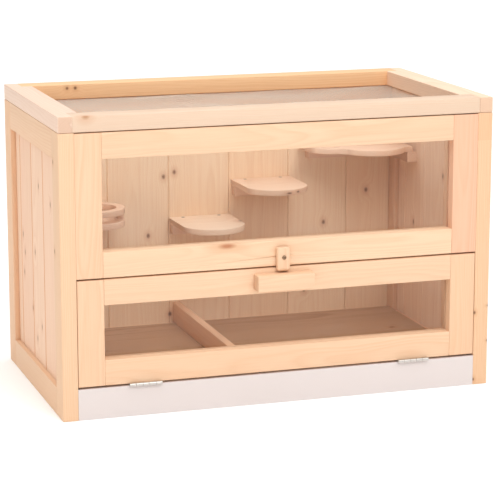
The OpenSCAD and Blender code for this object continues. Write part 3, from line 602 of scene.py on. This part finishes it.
def metal(name, bright, dull, rough_low, rough_high, grain_scale):
    """A plated or galvanised steel: two close tones in fine patches, with uneven gloss."""
    material, tree, out = new_material(name)
    place = add(tree, "TexCoord").outputs["Object"]
    fine = add(tree, "TexNoise", {"Vector": place, "Scale": grain_scale, "Detail": 3.0}).outputs["Fac"]
    colour = add(tree, "Mix", {0: fine, 6: srgb(bright), 7: srgb(dull)}, data_type="RGBA").outputs[2]
    rough = add(tree, "MapRange", {"Value": fine, "To Min": rough_low, "To Max": rough_high}).outputs[0]
    bump = add(tree, "Bump", {"Height": fine, "Strength": 0.3, "Distance": 0.00003}).outputs[0]
    steel = add(tree, "BsdfPrincipled", {
        "Base Color": colour, "Metallic": 1.0, "Roughness": rough, "Normal": bump,
    })
    tree.links.new(steel.outputs[0], out.inputs[0])
    return material


# Bronzed steel: a light brown, half dull
bronzed_steel = metal("bronzed_steel_screw", "B79A7E", "8A705A", 0.35, 0.55, 900.0)
# Bright zinc plating on pressed steel, a little cloudy
zinc_plate = metal("zinc_plated_steel", "DDD9D4", "C4C0BA", 0.34, 0.55, 600.0)


def pan_head(name, radius, height):
    """A domed screw head with a cross recess. It lies on Z = 0 and faces up."""
    bpy.ops.object.select_all(action="DESELECT")
    middle = (0, 0, height / 2)
    bpy.ops.mesh.primitive_cylinder_add(vertices=32, radius=radius, depth=height, location=middle)
    head = bpy.context.object
    head.name = head.data.name = name
    bpy.ops.object.transform_apply(location=True, rotation=True, scale=True)
    bpy.ops.object.mode_set(mode="EDIT")
    bpy.ops.mesh.select_all(action="DESELECT")
    bpy.ops.object.mode_set(mode="OBJECT")
    for face in head.data.polygons:
        face.select = face.normal.z > 0.9
    bpy.ops.object.mode_set(mode="EDIT")
    bpy.ops.mesh.select_mode(type="FACE")
    bpy.ops.mesh.bevel(offset=height * 0.7, segments=5, affect="EDGES")
    bpy.ops.object.mode_set(mode="OBJECT")
    arm = radius * 1.1
    slit = radius * 0.24
    for size in ((arm, slit, height), (slit, arm, height)):
        bpy.ops.object.select_all(action="DESELECT")
        bpy.ops.mesh.primitive_cube_add(size=1, location=(0, 0, height * 0.85), scale=size)
        driver = bpy.context.object
        bpy.ops.object.transform_apply(location=True, rotation=True, scale=True)
        carve(head, driver, "DIFFERENCE")
    bpy.ops.object.shade_smooth_by_angle(angle=HEAD_SMOOTH_ANGLE)
    return head


low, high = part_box("turn_button_screw")
centre = (low + high) / 2
pivot = pan_head("turn_button_screw_head", (high.x - low.x) / 2, PAN_HEAD_H)
pivot.rotation_euler = (math.pi / 2, 0, 0)
pivot.location = (centre.x, low.y + PAN_HEAD_H, centre.z)
bpy.ops.object.transform_apply(location=True, rotation=True, scale=True)
bpy.ops.object.select_all(action="DESELECT")
bpy.ops.mesh.primitive_cylinder_add(
    vertices=24, radius=PAN_SHANK_R, depth=high.y - low.y - PAN_HEAD_H,
    location=(centre.x, (low.y + PAN_HEAD_H + high.y) / 2, centre.z), rotation=(math.pi / 2, 0, 0),
)
bpy.ops.object.transform_apply(location=True, rotation=True, scale=True)
bpy.ops.object.mode_set(mode="EDIT")
bpy.ops.mesh.select_all(action="SELECT")
bpy.ops.mesh.bevel(offset=SHANK_EASE, segments=1, affect="EDGES")
bpy.ops.object.mode_set(mode="OBJECT")
pivot.select_set(True)
bpy.context.view_layer.objects.active = pivot
bpy.ops.object.join()
pivot.data.materials.append(bronzed_steel)
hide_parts("turn_button_screw")
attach(pivot, "cage")

# ---- Shelves and bowl holder --------------------------------------------------------------------
# Cut from glued fir board, the edges rounded and sanded by hand, each screwed down on square cleats.
# The bowl holder is a ring over a round base on small spacers.
SHELF_EASE = 0.0018
PLATE_SMOOTH_ANGLE = math.radians(25)
SCREW_CLEAR = 0.006

# Sanded fir: lighter than the planed timber, its rings a little fainter
sanded_fir = fir("sanded_fir_shelf", "X", "F8DAC0", "F4CFB2", "DFAE88", ring_depth=0.22)


def rounded_plate(node, name):
    """A shelf plate with its top and bottom edges rounded, but not the edges of the screw holes."""
    piece = merged_copy(node, name)
    low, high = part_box(node)
    screws = [v.co.copy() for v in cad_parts["shelf_screws"].data.vertices]
    for edge in piece.data.edges:
        a, b = (piece.data.vertices[i].co for i in edge.vertices)
        level = abs(a.z - b.z) < 1e-6 and (abs(a.z - high.z) < 1e-6 or abs(a.z - low.z) < 1e-6)
        middle = (a + b) / 2
        at_screw = any((point.xy - middle.xy).length < SCREW_CLEAR for point in screws)
        edge.select = level and not at_screw
    for part in list(piece.data.vertices) + list(piece.data.polygons):
        part.select = False
    for edge in piece.data.edges:
        for i in edge.vertices:
            piece.data.vertices[i].select |= edge.select
    bpy.ops.object.mode_set(mode="EDIT")
    bpy.ops.mesh.select_mode(type="EDGE")
    bpy.ops.mesh.bevel(offset=SHELF_EASE, segments=3, affect="EDGES")
    bpy.ops.object.mode_set(mode="OBJECT")
    return piece


# The low shelf is the palest timber, with a dark knot at its right end. The middle one has two pin
# knots in its front edge.
low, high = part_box("shelf_low")
low_shelf_fir = fir(
    "sanded_fir_low_shelf", "X", "FFE9D0", "FBDFC5", "E2B592", ring_depth=0.22,
    knots=[((high.x - 0.002, (low.y + high.y) / 2 - 0.006, high.z - 0.005), 0.0060, (1, 0.8, 0.8))],
    knot_colour="4E3426",
)
low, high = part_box("shelf_middle")
middle_shelf_fir = fir(
    "sanded_fir_middle_shelf", "X", "F8DCC2", "F4D1B4", "DFAF88", ring_depth=0.22,
    knots=[((high.x - 0.052, low.y, high.z - 0.007), 0.0024, (0.35, 1, 1)),
           ((high.x - 0.032, low.y + 0.006, high.z - 0.006), 0.0022, (0.4, 1, 1))],
    knot_colour="6A4836",
)
for seed, (node, material) in enumerate((
    ("shelf_low", low_shelf_fir), ("shelf_middle", middle_shelf_fir), ("shelf_high", sanded_fir),
    ("bowl_ring", sanded_fir), ("bowl_base", sanded_fir),
)):
    plate = rounded_plate(node, node + "_plate")
    finish_wood(plate, "cage", node, material, 100 + seed, 0.3, PLATE_SMOOTH_ANGLE)
for seed, node in enumerate(("shelf_low_cleat", "shelf_middle_cleat")):
    piece = planed_block(node + "_fir", *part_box(node))
    carve(piece, merged_copy(node, node + "_cutter"), "INTERSECT")
    finish_wood(piece, "cage", node, sanded_fir, 110 + seed, 0.4)
for node, seed in (("shelf_high_cleats", 115), ("bowl_spacers", 120)):
    for number, piece in enumerate(separate_solids(node, node.rstrip("s"))):
        finish_wood(piece, "cage", node, sanded_fir, seed + number, 0.4)

# ---- Hinges, screws and staples -----------------------------------------------------------------
# Pressed butt hinges in bright zinc, with rolled knuckles on a loose pin; their CAD shapes are kept,
# and so are the staples'. The countersunk screws are bright zinc on the hinges and yellow-grey on the
# shelves, with a cross recess in every head.
RECESS_ARM = 0.62
RECESS_SLIT = 0.17
RECESS_DEPTH = 0.0011

for node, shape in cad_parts.items():
    if ("hinge" in node and "screws" not in node) or node == "lid_staples":
        shape.data.materials.clear()
        shape.data.materials.append(zinc_plate)

# Chromated zinc: a dull yellow-grey
chromated_zinc = metal("chromated_zinc_screw", "A8957C", "7D6C58", 0.35, 0.55, 900.0)


def cut_cross_recess(screw):
    """Cuts the driver's cross into the wide end of a screw that lies along one axis."""
    points = [v.co for v in screw.data.vertices]
    low = Vector([min(p[i] for p in points) for i in range(3)])
    high = Vector([max(p[i] for p in points) for i in range(3)])
    axis = max(range(3), key=lambda i: (high - low)[i])
    middle = (low + high) / 2
    spread = {}
    for end in (low[axis], high[axis]):
        spread[end] = max((p - middle).length for p in points if abs(p[axis] - end) < WELD)
    head = max(spread, key=spread.get)
    across = [i for i in range(3) if i != axis]
    radius = (high - low)[across[0]] / 2
    for turn in (0, 1):
        size = [0.0, 0.0, 0.0]
        size[axis] = 2 * RECESS_DEPTH
        size[across[turn]] = 2 * radius * RECESS_ARM
        size[across[1 - turn]] = 2 * radius * RECESS_SLIT
        place = middle.copy()
        place[axis] = head
        bpy.ops.object.select_all(action="DESELECT")
        bpy.ops.mesh.primitive_cube_add(size=1, location=place, scale=size)
        driver = bpy.context.object
        bpy.ops.object.transform_apply(location=True, rotation=True, scale=True)
        carve(screw, driver, "DIFFERENCE")
    bpy.ops.object.shade_smooth_by_angle(angle=SMOOTH_ANGLE)


for node, body, finish in (
    ("shelf_screws", "cage", chromated_zinc), ("door_hinge_fixed_screws", "cage", zinc_plate),
    ("door_hinge_moving_screws", "door", zinc_plate), ("lid_hinge_fixed_screws", "cage", zinc_plate),
    ("lid_hinge_moving_screws", "lid", zinc_plate),
):
    for screw in separate_solids(node, node.rstrip("s")):
        cut_cross_recess(screw)
        screw.data.materials.append(finish)
        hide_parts(node)
        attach(screw, body)

# ---- Lid ----------------------------------------------------------------------------------------
# Four wide rails of planed fir. The outer part of each side rail runs through to the front, where
# its end grain shows. Welded mesh of 0.7 mm wire is stapled on underneath and waves a little.
LID_EASE = 0.0013
CORNER_KNOT_X = -0.356
TWIN_KNOTS_X = (-0.293, -0.277)
TWIN_KNOTS_Z = 0.533
WIRE_R = 0.00035
WELD_SHARE = 0.98
MESH_PITCH = 0.008
WAVE = 0.0009
WAVE_PIECES = 24

# Planed fir. The front rail is greyer than the others, painted shade that keeps its top from burning
# out under the bright overhead light, and has a pale knot near its left end. The back one is yellower,
# painted shade for its inner face, and has two small knots. The right one is paler than the left,
# painted light on its inner face, which lies in shade.
low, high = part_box("lid_front_rail")
lid_front_fir = fir(
    "planed_fir_lid_front", "X", "E2C8B0", "DFBEA4", "DDAE8A",
    knots=[((CORNER_KNOT_X, low.y, high.z), 0.0062, (0.9, 1, 1))], knot_colour="BC8A66",
)
low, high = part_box("lid_back_rail")
lid_back_fir = fir(
    "planed_fir_lid_back", "X", "F4C99C", "F1BE90", "D79A66",
    knots=[
        ((TWIN_KNOTS_X[0], low.y, TWIN_KNOTS_Z), 0.0032, (1, 1, 1)),
        ((TWIN_KNOTS_X[1], low.y, TWIN_KNOTS_Z), 0.0036, (1, 1, 1)),
    ],
)
batten("lid_front_rail", "lid", lid_front_fir, 130, 0.1, LID_EASE)
batten("lid_back_rail", "lid", lid_back_fir, 131, 0.15, LID_EASE)
lid_side_fir = fir("planed_fir_lid_side", "Y", "EFD4C0", "EBC7AE", "DDB193")
batten("lid_side_rail_left", "lid", lid_side_fir, 132, 0.2, LID_EASE)
# The right rail's paler fir is painted light on its inner face, which lies in shade
lid_side_fir_painted_light = fir("planed_fir_lid_side_painted_light", "Y", "FADDC3", "F5D0B2", "DCAA86")
batten("lid_side_rail_right", "lid", lid_side_fir_painted_light, 133, 0.3, LID_EASE)

# Hot-dip galvanised wire: dull warm grey with small bright patches
galvanised = metal("galvanised_wire", "E2DAD0", "BDB3A6", 0.34, 0.6, 1500.0)
low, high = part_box("lid_mesh")


def wires(name, along, count, start, end, level):
    """A set of wires side by side, all one piece. along is the axis that they follow: 0 from left to
    right, 1 from front to back.
    """
    bpy.ops.object.select_all(action="DESELECT")
    length = (end - start)[along]
    across = 1 - along
    turn = (0, math.pi / 2, 0) if along == 0 else (math.pi / 2, 0, 0)
    bpy.ops.mesh.primitive_cylinder_add(vertices=6, radius=WIRE_R, depth=length, rotation=turn)
    wire = bpy.context.object
    wire.name = wire.data.name = name
    place = (start + end) / 2
    place[across] = start[across] + WIRE_R
    place.z = level
    wire.location = place
    bpy.ops.object.transform_apply(location=True, rotation=True, scale=True)
    bpy.ops.object.mode_set(mode="EDIT")
    bpy.ops.mesh.select_all(action="DESELECT")
    bpy.ops.object.mode_set(mode="OBJECT")
    for edge in wire.data.edges:
        a, b = (wire.data.vertices[i].co for i in edge.vertices)
        edge.select = abs(a[along] - b[along]) > length / 2
    bpy.ops.object.mode_set(mode="EDIT")
    bpy.ops.mesh.subdivide(number_cuts=WAVE_PIECES)
    bpy.ops.object.mode_set(mode="OBJECT")
    row = wire.modifiers.new("row", "ARRAY")
    row.count = count
    row.use_relative_offset = False
    row.use_constant_offset = True
    step = Vector((0, 0, 0))
    step[across] = ((end - start)[across] - 2 * WIRE_R) / (count - 1)
    row.constant_offset_displace = step
    bpy.ops.object.modifier_apply(modifier=row.name)
    for point in wire.data.vertices:
        x, y = point.co.x, point.co.y
        ripple_x = math.sin(x * 31 + 2.1 * math.sin(y * 17))
        ripple_y = math.sin(y * 43 + 1.7 * math.sin(x * 13))
        point.co.z -= WAVE * (1 + 0.5 * ripple_x + 0.5 * ripple_y)
    wire.data.materials.append(galvanised)
    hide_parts("lid_mesh")
    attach(wire, "lid")


# The cross wires lie under the long ones, pressed a little into them where they are welded
upper = high.z - WIRE_R
lower = high.z - 3 * WIRE_R * WELD_SHARE
wires("lid_mesh_long_wires", 0, round((high.y - low.y) / MESH_PITCH), low, high, upper)
wires("lid_mesh_cross_wires", 1, round((high.x - low.x) / MESH_PITCH), low, high, lower)
